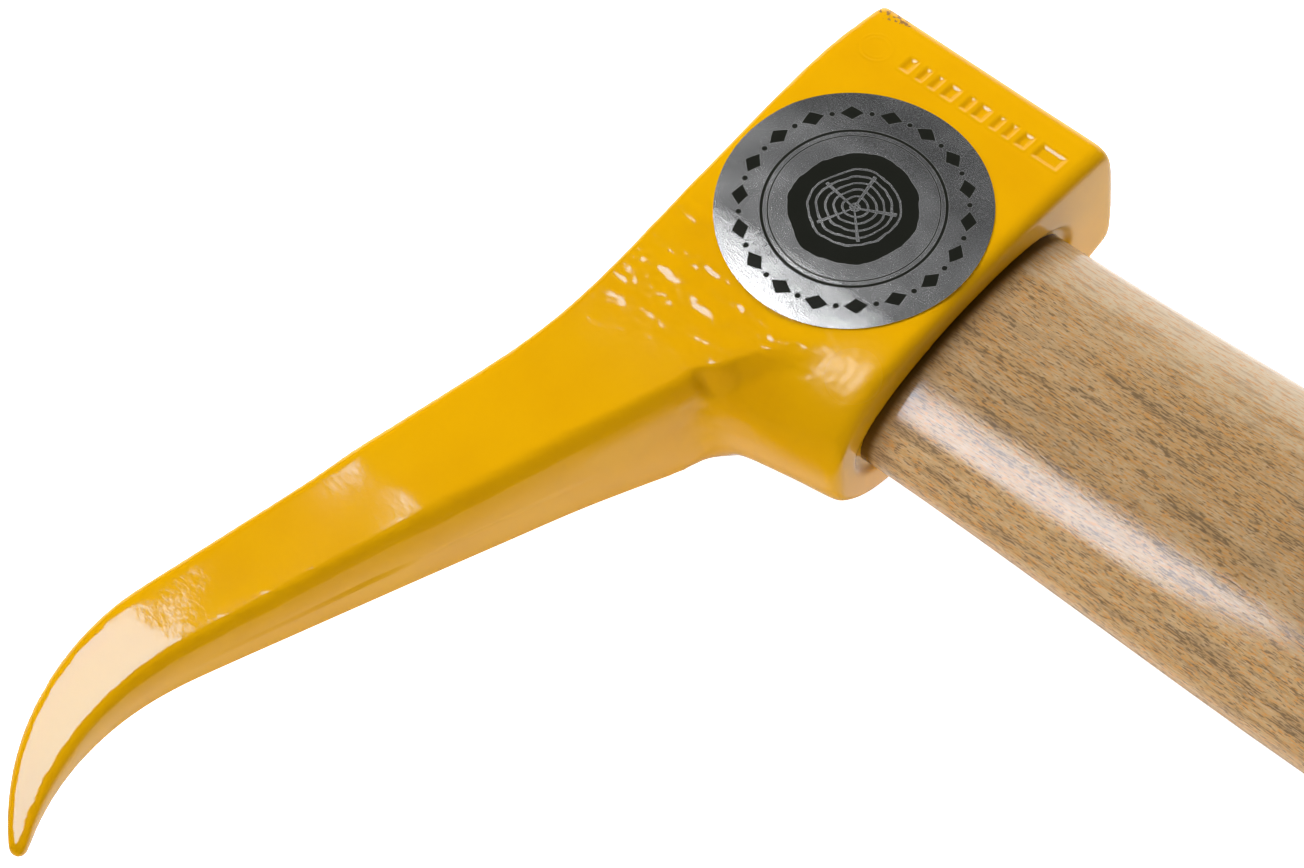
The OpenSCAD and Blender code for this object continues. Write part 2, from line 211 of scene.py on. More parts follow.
# %% [markdown]
# The lamps. One softbox hangs close, half a metre over the claw. It is made of two lamps in
# one place: the first lights the tool and is left out of its mirror images, the second shows
# only there. So the highlight gets its own size and strength, and edges that fade as the
# cloth of a real softbox does. Multiple importance sampling lets a ray that bounces off the
# paint run into a lamp. The ray would stop at the first lamp too and never see the second,
# so this is off for every lamp that is not mirrored. Two wide fills stand for the pale room
# behind and before the tool, and a lamp that lies on the paper for the light that the table
# throws up.


# %% Lamp helper
def softbox(name, place, aim, width, depth, radiance, turn=0.0, mirrored=True, lights=True):
    """A lamp facing a point: width along the handle, depth along the claw, then a turn."""
    lamp = bpy.data.lights.new(name, "AREA")
    lamp.shape, lamp.size, lamp.size_y = "RECTANGLE", width, depth
    lamp.energy = radiance * math.pi * width * depth
    back = (Vector(place) - Vector(aim)).normalized()
    side = (Vector((1, 0, 0)) - back * back.x).normalized()
    side = Matrix.Rotation(math.radians(turn), 3, back) @ side
    holder = bpy.data.objects.new(name, lamp)
    holder.matrix_world = Matrix.Translation(place) @ Matrix(
        [[*row] for row in zip(side, back.cross(side), back)]).to_4x4()
    holder.visible_glossy, holder.visible_diffuse, holder.visible_camera = mirrored, lights, False
    lamp.cycles.use_multiple_importance_sampling = mirrored
    scene.collection.objects.link(holder)
    return holder


# %% Softbox over the claw
BOX_PLACE, BOX_AIM, BOX_TURN = (-0.2037, -0.139, 0.475), (0.0, -0.03, 0.02), -16
LIT_SIZE, LIT_LEVEL = (0.206, 0.22), 5.0
GLARE_SIZE, GLARE_LEVEL = (0.246, 0.239), 12.3
# Each soft edge: along the width (0) or the depth (1), the share of it where the lamp is
# dark, and the share where it is full.
SOFT_EDGES = [(0, 0.97, 0.80), (0, 0.0, 0.07), (1, 0.0, 0.09), (1, 1.0, 0.93)]

softbox("overhead softbox", BOX_PLACE, BOX_AIM, *LIT_SIZE, LIT_LEVEL, turn=BOX_TURN, mirrored=False)
glare = softbox("softbox glare", BOX_PLACE, BOX_AIM, *GLARE_SIZE, GLARE_LEVEL, turn=BOX_TURN,
                lights=False)
glare.data.use_nodes = True
tree = glare.data.node_tree
share = add(tree, "SeparateXYZ", Vector=add(tree, "NewGeometry", out=5)).node.outputs
edge = 1.0
for direction, dark, full in SOFT_EDGES:
    edge = sums(tree, "MULTIPLY", edge, fade(tree, share[direction], dark, full))
tree.links.new(edge, tree.nodes["Emission"].inputs["Strength"])
print("Softbox: two lamps,", round(glare.location.z, 2), "m up")

# %% Fills and the table's glow
# Each square lamp: its name, its place, the point that it faces, its width and its radiance.
FILLS = [("soft fill", (-0.3, 0.5, 0.8), (0, -0.03, 0.02), 0.8, 4.35),
         ("front fill", (0.15, -1.3, 0.75), (0, 0, 0), 1.2, 1.35),
         ("table glow", (0.1, -0.3, -FLOOR_DROP / 2), (0.1, -0.3, 1), 2.0, 0.75)]

for name, lamp_place, aim, width, radiance in FILLS:
    softbox(name, lamp_place, aim, width, width, radiance, mirrored=False)

# %% [markdown]
# The head. On the real tool it is a drop forging: the die leaves soft corners, and scale and
# enamel leave a slightly wavy skin. The CAD solid has the true shape in flat facets, so a
# copy of it is closed over the eye, smoothed by subdivision, and the eye is cut again.


# %% Mesh helpers
def keep(name, bm):
    """Turns a bmesh into a linked object."""
    mesh = bpy.data.meshes.new(name)
    bm.to_mesh(mesh)
    bm.free()
    made = bpy.data.objects.new(name, mesh)
    scene.collection.objects.link(made)
    return made


def settle(piece):
    """Applies the piece's modifiers."""
    graph = bpy.context.evaluated_depsgraph_get()
    settled = bpy.data.meshes.new_from_object(piece.evaluated_get(graph))
    piece.modifiers.clear()
    piece.data = settled


# %% Head without its eye
# The head's thickness and its depth from crown to mouth, in millimetres.
HEAD_THICK, HEAD_DEEP = 30, 42
MIDDLE, CROWN, MOUTH = HEAD_THICK / 2, -HEAD_DEEP / 2, HEAD_DEEP / 2
MIDDLE_Z = MIDDLE * MM
# The eye's oval: its power, and half its length and width at the rims, in metres.
EYE_POWER = 2.2
RIM_LONG, RIM_WIDE = 25.3 * MM, 11.3 * MM


def in_eye(co):
    """True for a point inside the eye's oval, or on its broken rim."""
    inside = abs(co.y / RIM_LONG) ** EYE_POWER + abs((co.z - MIDDLE_Z) / RIM_WIDE) ** EYE_POWER < 1.05
    return inside and CROWN - 1 < co.x / MM < MOUTH + 1


bm = bmesh.new()
bm.from_mesh(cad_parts["head"].data)
bmesh.ops.remove_doubles(bm, verts=bm.verts, dist=1e-6)
eye_verts = [v for v in bm.verts if in_eye(v.co)]
bmesh.ops.delete(bm, geom=eye_verts, context="VERTS")
rims = [e for e in bm.edges if e.is_boundary]
print("Head without its eye:", len(bm.faces), "faces,", len(rims), "open edges")

# %% Close the eye and round the form
CORNER_HOLD = 0.2 * MM


def close_side(bm, edges):
    """Bridges an open oval from its lower half to its upper half, pair by pair."""
    verts = sorted({v for e in edges for v in e.verts}, key=lambda v: v.co.y)
    low = [v for v in verts if v.co.z < MIDDLE_Z]
    high = [v for v in verts if v.co.z > MIDDLE_Z]
    for a, b, c, d in zip(low, low[1:], high[1:], high):
        bm.faces.new((a, b, c, d))


for crown_side in (True, False):
    close_side(bm, [e for e in rims if (e.verts[0].co.x < 0) == crown_side])
bmesh.ops.recalc_face_normals(bm, faces=bm.faces)
bmesh.ops.join_triangles(bm, faces=bm.faces, angle_face_threshold=0.6, angle_shape_threshold=1.2)
# The tall side faces, which cross the middle plane, are inset so that their corners stay tight.
tall = [f for f in bm.faces if min(v.co.z for v in f.verts) < MIDDLE_Z - 1e-5
        and max(v.co.z for v in f.verts) > MIDDLE_Z + 1e-5]
bmesh.ops.inset_region(bm, faces=tall, thickness=CORNER_HOLD, use_even_offset=True)
form = keep("head form", bm)
form.modifiers.new("round", "SUBSURF").levels = 2
settle(form)
print("Rounded form:", len(form.data.polygons), "faces")

# %% [markdown]
# The eye is cut with an oval bar. A circle is the start; raising its sine and cosine to a
# power a little under one makes the slightly squarer oval of a drifted eye. The bar is
# extruded from one oval to the next, and widens in the last 0.8 mm before each of the head's
# faces, which breaks the eye's rims.

# %% Cut the eye
RIM, PAST = 0.8, 5
# Each oval of the bar, in millimetres: its place, half its length and half its width.
EYE_RINGS = [(CROWN - PAST, 25.0, 11.0), (CROWN, 25.0, 11.0), (CROWN + RIM, 24.19, 10.18),
             (MOUTH - RIM, 23.81, 9.51), (MOUTH, 24.6, 10.3), (MOUTH + PAST, 24.6, 10.3)]


def lay_oval(verts, x, long, wide):
    """Lays a ring of vertices on an oval square to the handle, sizes in millimetres."""
    for i, v in enumerate(verts):
        turn = 2 * math.pi * i / len(verts)
        c, s = math.cos(turn), math.sin(turn)
        v.co = Vector((x, long * math.copysign(abs(c) ** (2 / EYE_POWER), c),
                       MIDDLE + wide * math.copysign(abs(s) ** (2 / EYE_POWER), s))) * MM


def oval_bar(name, rings, segments=96):
    """A closed bar through a list of ovals, extruded from one to the next."""
    bm = bmesh.new()
    bmesh.ops.create_circle(bm, cap_ends=True, segments=segments, radius=MM)
    face = bm.faces[:][0]
    lay_oval(face.verts[:], *rings[0])
    for ring in rings[1:]:
        grown = bmesh.ops.extrude_face_region(bm, geom=[face])["geom"]
        face = [g for g in grown if isinstance(g, bmesh.types.BMFace)][0]
        lay_oval(face.verts[:], *ring)
    bmesh.ops.recalc_face_normals(bm, faces=bm.faces)
    return keep(name, bm)


drift = oval_bar("eye drift", EYE_RINGS)
cut = form.modifiers.new("eye", "BOOLEAN")
cut.operation, cut.solver, cut.object = "DIFFERENCE", "EXACT", drift
settle(form)
bpy.data.objects.remove(drift)
print("With its eye:", len(form.data.polygons), "faces")

# %% [markdown]
# The skin. Ripples and stamped marks need faces that are small and alike all over, which the
# rounded form doesn't have. A voxel remesh gives one even skin of quads, a little over half a
# millimetre wide. It loses a little of the shape, so each vertex is then put back on the
# nearest point of the rounded form.

# %% One even skin
SKIN_STEP = 0.55 * MM


def tree_of(piece):
    """A search tree over a piece's faces."""
    bm = bmesh.new()
    bm.from_mesh(piece.data)
    made = BVHTree.FromBMesh(bm)
    bm.free()
    return made


def smooth(bm, verts, rounds=1):
    """Moves each vertex half way to the middle of its neighbours, a number of times."""
    for _ in range(rounds):
        bmesh.ops.smooth_vert(bm, verts=verts, factor=0.5,
                              use_axis_x=True, use_axis_y=True, use_axis_z=True)


def put_back(bm):
    """Puts every vertex on the nearest point of the true shape."""
    for v in bm.verts:
        v.co = true_shape.find_nearest(v.co)[0]


true_shape = tree_of(form)
even = form.modifiers.new("even", "REMESH")
even.mode, even.voxel_size, even.adaptivity = "VOXEL", SKIN_STEP, 0
settle(form)
form.name = form.data.name = "painted_head"
head = form
bm = bmesh.new()
bm.from_mesh(head.data)
smooth(bm, bm.verts)
put_back(bm)
print("Even skin:", len(bm.faces), "quads")

# %% [markdown]
# The dents and the stamped marks are as small as 1 mm, so the skin is cut finer under them
# and left coarser elsewhere, which keeps the piece under 200,000 triangles.

# %% Finer skin under the dents and the stamped row
# Each area, in millimetres: its range along x, y and z.
STAMP_AREA = ((-19, 19), (22, 29.5), (24, 31))
DENT_AREA = ((-25, 21), (-50, -7), (19, 31))


def within(point, area):
    """True for a point inside an area, both in millimetres."""
    return all(low < c < high for c, (low, high) in zip(point, area))


for area, cuts in ((STAMP_AREA, 2), (DENT_AREA, 1)):
    fine = [e for e in bm.edges if all(within(v.co / MM, area) for v in e.verts)]
    bmesh.ops.subdivide_edges(bm, edges=fine, cuts=cuts, use_grid_fill=True)
    print("Edges cut finer:", len(fine))
put_back(bm)
smooth(bm, bm.verts, 2)

# %% [markdown]
# The corner between the claw and the front wall has no clean line on the real head, as if it
# was ground out by hand, so the skin is relaxed there in shrinking balls. The claw's sides
# are the smoothest part of the forging and mirror the paper in long bands, so what the
# remesh left uneven on them is smoothed away along their whole length.

# %% Soften the inner corner and the claw's sides
# Each ball, in millimetres: its centre, its radius and the rounds of smoothing in it.
TOP_CORNER, LOW_CORNER = (3, -32, MIDDLE), (3, -30.5, 4)
SOFTENING = [(TOP_CORNER, 12, 6), (TOP_CORNER, 10, 12), (TOP_CORNER, 8, 20), (TOP_CORNER, 6, 25),
             (LOW_CORNER, 9, 12), (LOW_CORNER, 7, 25), (LOW_CORNER, 5, 30)]
SIDES_FROM, SIDES_TO, SIDES_ROUNDS = 36, 128, 120

for center, reach, rounds in SOFTENING:
    ball = [v for v in bm.verts if (v.co / MM - Vector(center)).length < reach]
    smooth(bm, ball, rounds)
print("Vertices in the last ball:", len(ball))
bm.normal_update()
claw_sides = [v for v in bm.verts if SIDES_FROM < -v.co.y / MM < SIDES_TO and abs(v.normal.z) < 0.3]
smooth(bm, claw_sides, SIDES_ROUNDS)
print("Vertices on the claw's sides:", len(claw_sides))

# %% [markdown]
# Ripples and stamped marks. Scale that was forged in, and thick enamel, leave low dents 2 to
# 5 mm wide where the claw spreads into the cheek, fainter ones on the nose in front of the
# eye and on the hook, and longer, flatter waves elsewhere. One hammered flat lies across the
# claw. Near the poll a row of bars and one ring are stamped cold into the cheek, nearly
# 0.4 mm deep with a low lip round each, so that their walls catch the softbox. The paint
# mirrors every slope, so this is true geometry: each vertex moves along its normal by the
# heights that the next cells work out.

# %% Stamped row
# The middle and half the width of each bar along x, in millimetres.
STAMP_ROW = [(-10.0, 0.7), (-7.3, 0.5), (-5.0, 0.5), (-2.3, 0.9), (0.8, 0.5), (3.3, 0.9),
             (6.2, 0.5), (8.5, 0.5), (11.1, 0.8), (15.6, 2.1)]
STAMP_Y, STAMP_TALL, STAMP_DEEP, STAMP_LIP = 26.4, 1.3, 0.38, 0.05
ROUND_STAMP, ROUND_R = (-15.6, 25.8), 2.2


def ease(value, low, high):
    """Eases from 0 at low to 1 at high."""
    q = min(1.0, max(0.0, (value - low) / (high - low)))
    return q * q * (3 - 2 * q)


def window(value, a, b, c, d):
    """Rises from a to b, stays, and falls from c to d."""
    return ease(value, a, b) * (1 - ease(value, c, d))


def stamp_height(x, y):
    """Height of the stamped row: below the skin in a mark, a little above it round a mark."""
    away = abs(math.hypot(x - ROUND_STAMP[0], y - ROUND_STAMP[1]) - ROUND_R) + 0.15
    for middle, half in STAMP_ROW:
        dx, dy = abs(x - middle) - half, abs(y - STAMP_Y) - STAMP_TALL
        away = min(away, math.hypot(max(dx, 0), max(dy, 0)) + min(max(dx, dy), 0))
    return STAMP_LIP * window(away, 0.2, 0.4, 0.45, 0.8) - STAMP_DEEP * (1 - ease(away, -0.5, 0.22))


print("Stamped bars:", len(STAMP_ROW), "and a ring", 2 * ROUND_R, "mm across")

# %% [markdown]
# The hammered flat is given by its slope along the claw, because the slope is what turns the
# mirror image: a strip 12 mm long tips towards the softbox and shows it. The slope is summed
# into a height, and a gentle even rise before and after the flat brings the skin back to the
# true shape.

# %% Hammered flat
# Distance out along the claw in millimetres, and the slope there.
HAMMER_SLOPES = [(44, 0), (69.5, 0), (71.5, 0.061), (73, 0.054), (82, 0), (108, 0)]
HAMMER_EDGE, HAMMER_PERIOD = 32.0, 10.4
HAMMER_SHIFT, HAMMER_MEAN, HAMMER_SWING = 0.3, 0.80, 0.21
OUT_STEP = 0.5

out_at = np.arange(HAMMER_SLOPES[0][0], HAMMER_SLOPES[-1][0] + OUT_STEP, OUT_STEP)
slope_at = np.interp(out_at, *zip(*HAMMER_SLOPES))
slope_at = slope_at - (slope_at == 0) * slope_at.sum() / (slope_at == 0).sum()
fall_at = np.cumsum(slope_at) * OUT_STEP


def hammer_height(x, out):
    """Height of the flat, stronger and nearer at both edges of the claw's upper side."""
    edge = math.cos(2 * math.pi * (x + HAMMER_EDGE) / HAMMER_PERIOD)
    shifted = out + HAMMER_SHIFT * (edge - 1)
    return -float(np.interp(shifted, out_at, fall_at)) * (HAMMER_MEAN + HAMMER_SWING * edge)


print("Hammered flat is", round(float(np.ptp(fall_at)), 2), "mm deep")

# %% [markdown]
# The dents are noise under a window, stretched along the handle and stronger near the
# label. A window says where an effect starts, is full, begins to fade and has ended.

# %% Height of the skin
WAVE_DEEP, WAVE_LONG = 0.035, 11.0
DENT_DEEP, DENT_LONG = 0.088, 2.3
DENTS_X, DENTS_Y, DENTS_GROW = (-24, -18, 8, 14), (-42, -34, -13, -8), (-35, -20)
NOSE_DEEP, NOSE_LONG = 0.03, 1.0
NOSE_X, NOSE_Y = (8, 12, 19, 22), (-28, -24, -14, -10)
HOOK_DEEP, HOOK_LONG = 0.025, 2.2
HOOK_OUT = (84, 92, 108, 118)
CLAW_LINE = (0.36, 0.93)  # the claw's direction, as x and y


def skin_height(x, y, z):
    """Height of the skin over the true shape, in millimetres, at a point in millimetres."""
    height = WAVE_DEEP * noise.noise(Vector((x, y, z * 1.3)) / WAVE_LONG)
    if z < MIDDLE:
        return height
    spread = window(y, *DENTS_Y) * window(x, *DENTS_X) * (0.35 + 1.6 * ease(y, *DENTS_GROW))
    lying = Vector((0.5 * x, y, z)) / DENT_LONG
    height += DENT_DEEP * spread * noise.noise(lying + Vector((7, 3, 5)))
    height += 0.42 * DENT_DEEP * spread * noise.noise(2.2 * lying + Vector((x / 3.1, 0, 2)))
    nose = window(x, *NOSE_X) * window(y, *NOSE_Y)
    height += NOSE_DEEP * nose * noise.noise(Vector((x, y, z)) / NOSE_LONG)
    along, across = CLAW_LINE[0] * x + CLAW_LINE[1] * y, CLAW_LINE[1] * x - CLAW_LINE[0] * y
    brushed = Vector((across, along * 0.3, z)) / HOOK_LONG
    height += HOOK_DEEP * window(-y, *HOOK_OUT) * noise.noise(brushed)
    if within((x, y, z), STAMP_AREA):
        height += stamp_height(x, y)
    return height + hammer_height(x, -y)


print("Height over the middle of the dents:", round(skin_height(-5, -24, 30), 3), "mm")

# %% Move the skin
bm.normal_update()
low, high = cad_box
shift = [v.normal * (skin_height(*(v.co / MM)) * MM) for v in bm.verts]
for v, move in zip(bm.verts, shift):
    v.co += move
    v.co = Vector([min(max(c, a), b) for c, a, b in zip(v.co, low, high)])
for f in bm.faces:
    f.smooth = True
bm.to_mesh(head.data)
bm.free()
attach(head, "root")
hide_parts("head")
print("Painted head:", sum(len(p.vertices) - 2 for p in head.data.polygons), "triangles")

# %% [markdown]
# Enamel. The paint is one even, saturated orange-yellow, so what the eye reads is its gloss.
# The Principled shader gives a clear reflection over the colour. Over this paint the camera
# shows white light as a pinkish cream, so the reflection is tinted a little to the blue. A
# faint fine bump is the orange peel of sprayed enamel. Three places are rubbed a little dull,
# and at one corner of the poll a chip shows brown steel, ragged by a fine noise.

# %% Enamel: colour and chip
ENAMEL = (0.84, 0.425, 0.0)
ENAMEL_DEEP = (0.80, 0.39, 0.0)
BARE_STEEL = (0.34, 0.16, 0.03)
CHIP_PLACE, CHIP_SQUASH = (-0.0176, 0.0323, 0.0271), (0.4, 1.0, 1.0)
CHIP_FALL, CHIP_RAGGED, CHIP_EDGE = 520.0, 2.6, (1.5, 1.7)

enamel, tree, shader = new_material("orange-yellow enamel")
place = add(tree, "TexCoord", out=3)
cloud = add(tree, "TexNoise", Vector=place, Scale=60.0, Detail=2.0)
color = blend_colors(tree, fade(tree, cloud, 0.35, 0.75), ENAMEL, ENAMEL_DEEP)
corner = add(tree, "VectorMath", operation="SUBTRACT", i0=place, i1=CHIP_PLACE)
corner = add(tree, "VectorMath", operation="MULTIPLY", i0=corner, i1=CHIP_SQUASH)
corner = add(tree, "VectorMath", operation="LENGTH", out=1, i0=corner)
ragged = add(tree, "TexNoise", Vector=place, Scale=1500.0, Detail=3.0)
ragged = sums(tree, "MULTIPLY", ragged, CHIP_RAGGED)
chip = fade(tree, sums(tree, "MULTIPLY_ADD", corner, CHIP_FALL, ragged), *CHIP_EDGE, 1.0, 0.0)
tree.links.new(blend_colors(tree, chip, color, BARE_STEEL), shader.inputs["Base Color"])
head.data.materials.clear()
head.data.materials.append(enamel)
print("Enamel's colour:", len(tree.nodes), "nodes")

# %% Enamel: gloss and orange peel
GLOSS = 0.07
GLOSS_TINT = (0.30, 0.66, 1.0, 1.0)
PEEL_DEEP = 0.000015
# Each dull place: its centre, the radius where it is full, the radius where it ends, and its
# roughness.
WORN = [((0.0168, -0.0195, 0.0285), 0.003, 0.010, 0.29),
        ((-0.005, -0.024, 0.029), 0.012, 0.022, 0.10),
        ((-0.026, -0.078, 0.027), 0.006, 0.018, 0.11)]

dull = GLOSS
for worn_place, inner, outer, roughness in WORN:
    away = add(tree, "VectorMath", operation="DISTANCE", out=1, i0=place, i1=worn_place)
    dull = sums(tree, "MAXIMUM", dull, fade(tree, away, inner, outer, roughness, GLOSS))
tree.links.new(sums(tree, "MULTIPLY_ADD", chip, 0.4, dull), shader.inputs["Roughness"])
shader.inputs["Specular Tint"].default_value = GLOSS_TINT
peel = add(tree, "TexNoise", Vector=place, Scale=420.0, Detail=1.0)
fine_peel = add(tree, "TexNoise", Vector=place, Scale=1500.0, Detail=1.0)
peel = sums(tree, "MULTIPLY_ADD", fine_peel, 0.5, peel)
tree.links.new(add(tree, "Bump", Strength=1.0, Distance=PEEL_DEEP, Height=peel), shader.inputs["Normal"])
print("Enamel:", len(tree.nodes), "nodes")

# %% [markdown]
# Ash. The stick was split so that the log's yearly rings lie flat across it. On its broad
# upper side one ring spreads wide and shows its open pores as short dark dashes; down the
# round edges the rings stand steeply and show as fine lines. One group makes that grain for
# any stick along x: rings as wavy layers, pores and fibres as stretched specks, and slow
# blotches of tone.


# %% Node groups
def make_group(name, inputs, outputs):
    """An empty node group with named sockets."""
    group = bpy.data.node_groups.new(name, "ShaderNodeTree")
    for way, sockets in (("INPUT", inputs), ("OUTPUT", outputs)):
        for label, socket_type, value in sockets:
            socket = group.interface.new_socket(label, in_out=way, socket_type="NodeSocket" + socket_type)
            if value is not None:
                socket.default_value = value
    return group, group.nodes.new("NodeGroupInput"), group.nodes.new("NodeGroupOutput")


def use_group(tree, group, **values):
    """Places a group in a material and returns its node."""
    node = tree.nodes.new("ShaderNodeGroup")
    node.node_tree = group
    for name, value in values.items():
        socket = node.inputs[name.replace("_", " ")]
        if isinstance(value, bpy.types.NodeSocket):
            tree.links.new(value, socket)
        else:
            socket.default_value = value
    return node


def stretched(tree, place, length, width, detail=2.0):
    """Noise in specks of a length along x and a width across it."""
    scale = add(tree, "CombineXYZ", i0=sums(tree, "DIVIDE", 1.0, length),
                i1=sums(tree, "DIVIDE", 1.0, width), i2=sums(tree, "DIVIDE", 1.0, width))
    specks = add(tree, "VectorMath", operation="MULTIPLY", i0=place, i1=scale)
    return add(tree, "TexNoise", Vector=specks, Scale=1.0, Detail=detail)


# %% Grain group
RING_NORMAL = (0.018, 0.17, 0.985)
CLOUD_LONG, CLOUD_WIDE = 0.045, 0.009
FIBRE_LONG, FIBRE_WIDE = 0.0048, 0.00055
STREAK_LONG, STREAK_WIDE = 0.016, 0.0021
ELSEWHERE = (0.31, 0.17, 0.23)

grain, begin, end = make_group(
    "wood grain",
    [("Place", "Vector", None), ("Ring Width", "Float", 0.0021), ("Waviness", "Float", 0.0020),
     ("Pore Length", "Float", 0.0013), ("Pore Width", "Float", 0.00021)],
    [(name, "Float", None) for name in ("Ring", "Pores", "Fleck", "Fibre", "Streak")])
ports, results = begin.outputs, end.inputs
cloud = stretched(grain, ports["Place"], CLOUD_LONG, CLOUD_WIDE)
away = add(grain, "VectorMath", operation="DOT_PRODUCT", out=1, i0=ports["Place"], i1=RING_NORMAL)
wavy = sums(grain, "MULTIPLY", sums(grain, "SUBTRACT", cloud, 0.5),
            sums(grain, "MULTIPLY", ports["Waviness"], 2.5))
turns = sums(grain, "DIVIDE", sums(grain, "ADD", away, wavy), ports["Ring Width"])
layers = sums(grain, "SINE", sums(grain, "MULTIPLY", turns, 2 * math.pi))
moved = add(grain, "VectorMath", operation="ADD", i0=ports["Place"], i1=ELSEWHERE)
pore_size = ports["Pore Length"], ports["Pore Width"]
grain.links.new(sums(grain, "MULTIPLY_ADD", layers, 0.5, 0.5), results["Ring"])
grain.links.new(stretched(grain, ports["Place"], *pore_size), results["Pores"])
grain.links.new(stretched(grain, moved, *pore_size, 1.0), results["Fleck"])
grain.links.new(stretched(grain, ports["Place"], FIBRE_LONG, FIBRE_WIDE, 3.0), results["Fibre"])
grain.links.new(stretched(grain, moved, STREAK_LONG, STREAK_WIDE, 3.0), results["Streak"])
print("Grain group:", len(grain.nodes), "nodes")

# %% [markdown]
# The handle keeps the CAD shape. Its copy has its doubled vertices merged and is shaded
# smooth, with only the tenon's cut edges left sharp, so that the lacquer's long highlight
# runs unbroken.

# %% Ash handle
SHARP_FROM = 32

bm = bmesh.new()
bm.from_mesh(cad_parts["handle"].data)
bmesh.ops.remove_doubles(bm, verts=bm.verts, dist=1e-6)
for f in bm.faces:
    f.smooth = True
for e in bm.edges:
    e.smooth = len(e.link_faces) == 2 and e.calc_face_angle(0) < math.radians(SHARP_FROM)
handle = keep("ash_handle", bm)
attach(handle, "root")
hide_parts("handle")
print("Handle:", len(handle.data.polygons), "faces")

# %% [markdown]
# The wood's colour. The handle runs from golden wood on the claw's side to cream wood on the
# other, along a wandering line. Dark dashes gather in early wood and in the cloudy streaks;
# in the palest wood the pores have taken the lacquer's orange instead. Painted shade darkens
# the wood in the eye's mouth, a painted shadow draws a dark line where the wood meets the
# steel, and painted light makes the stick's lower side paler.

# %% Ash: tone of the wood
ASH_CREAM, ASH_GOLD, ASH_BROWN_AND_SHADE = (0.57, 0.43, 0.265), (0.49, 0.305, 0.135), (0.27, 0.165, 0.08)
CREAM_FROM, CREAM_FULL = 0.0105, 0.0185

ash, tree, shader = new_material("lacquered ash")
place = add(tree, "TexCoord", out=3)
wood = use_group(tree, grain, Place=place).outputs
apart = add(tree, "SeparateXYZ", Vector=place).node.outputs
cream = sums(tree, "MULTIPLY_ADD", apart[0], 0.05, apart[1])
cream = sums(tree, "MULTIPLY_ADD", sums(tree, "SUBTRACT", wood["Streak"], 0.5), 0.022, cream)
cream = fade(tree, cream, CREAM_FROM, CREAM_FULL)
color = blend_colors(tree, fade(tree, wood["Ring"], 0.0, 1.0, 0.0, 0.3), ASH_GOLD, ASH_CREAM)
color = blend_colors(tree, cream, color, ASH_CREAM)
color = blend_colors(tree, fade(tree, wood["Fibre"], 0.45, 0.72, 0.0, 0.6), color, ASH_BROWN_AND_SHADE)
color = blend_colors(tree, fade(tree, wood["Fleck"], 0.3, 0.42, 0.5, 0.0), color, ASH_CREAM)
streak = sums(tree, "MULTIPLY", fade(tree, wood["Streak"], 0.53, 0.66), sums(tree, "SUBTRACT", 1.0, cream))
color = blend_colors(tree, sums(tree, "MULTIPLY", streak, 0.3), color, ASH_BROWN_AND_SHADE)
print("Tone of the wood:", len(tree.nodes), "nodes")

# %% Ash: pores
PORE_DARK, PORE_ORANGE = (0.15, 0.10, 0.06), (0.56, 0.26, 0.07)

stain = sums(tree, "MULTIPLY", fade(tree, wood["Fleck"], 0.545, 0.64), sums(tree, "SUBTRACT", 0.75, streak))
color = blend_colors(tree, sums(tree, "MAXIMUM", stain, 0.0), color, PORE_ORANGE)
dense = sums(tree, "MULTIPLY_ADD", streak, 0.075, wood["Pores"])
dense = sums(tree, "MULTIPLY_ADD", wood["Ring"], -0.05, dense)
pore = sums(tree, "MULTIPLY", fade(tree, dense, 0.5, 0.64), sums(tree, "MULTIPLY_ADD", cream, -0.7, 0.8))
color = blend_colors(tree, pore, color, PORE_DARK)
print("With its pores:", len(tree.nodes), "nodes")

# %% Ash: painted shade in the eye's mouth, painted light on the lower side, and lacquer
GAP_SHADE = (0.08, 0.035, 0.003)
MOUTH_FROM, MOUTH_FULL = 0.010, 0.018
SHADE_FROM, SHADE_GONE = 0.0205, 0.0265
GAP_SHADE_FROM, GAP_SHADE_GONE = 0.0212, 0.0228
LOWER_SIDE_LIGHT, LOWER_LIGHT_FULL, LOWER_LIGHT_GONE = 1.38, -0.020, -0.008
LACQUER_TINT = (0.62, 0.70, 0.85, 1.0)
RELIEF_DEEP = 0.00002

mouth_side = fade(tree, apart[0], MOUTH_FROM, MOUTH_FULL)
# Painted shade: inside the eye's mouth the wood is blended towards brown, fading out just past it.
shade = sums(tree, "MULTIPLY", mouth_side, fade(tree, apart[0], SHADE_FROM, SHADE_GONE, 0.45, 0.0))
color = blend_colors(tree, shade, color, ASH_BROWN_AND_SHADE)
# Painted shadow: a thin dark brown line on the wood where it meets the steel at the eye's mouth.
gap_shade = sums(tree, "MULTIPLY", mouth_side, fade(tree, apart[0], GAP_SHADE_FROM, GAP_SHADE_GONE, 0.95, 0.0))
color = blend_colors(tree, gap_shade, color, GAP_SHADE)
# Painted light: the stick's lower side, towards -y, is made up to 1.38 times lighter.
paler = fade(tree, apart[1], LOWER_LIGHT_FULL, LOWER_LIGHT_GONE, LOWER_SIDE_LIGHT, 1.0)
paler = add(tree, "CombineXYZ", i0=paler, i1=paler, i2=paler)
color = add(tree, "VectorMath", operation="MULTIPLY", i0=color, i1=paler)
tree.links.new(color, shader.inputs["Base Color"])
shader.inputs["Roughness"].default_value = 0.06
shader.inputs["Specular Tint"].default_value = LACQUER_TINT
relief = sums(tree, "MULTIPLY_ADD", wood["Fibre"], 0.35, wood["Pores"])
relief = add(tree, "Bump", Strength=1.0, Distance=RELIEF_DEEP, invert=True, Height=relief)
tree.links.new(relief, shader.inputs["Normal"])
handle.data.materials.append(ash)
print("Lacquered ash:", len(tree.nodes), "nodes")

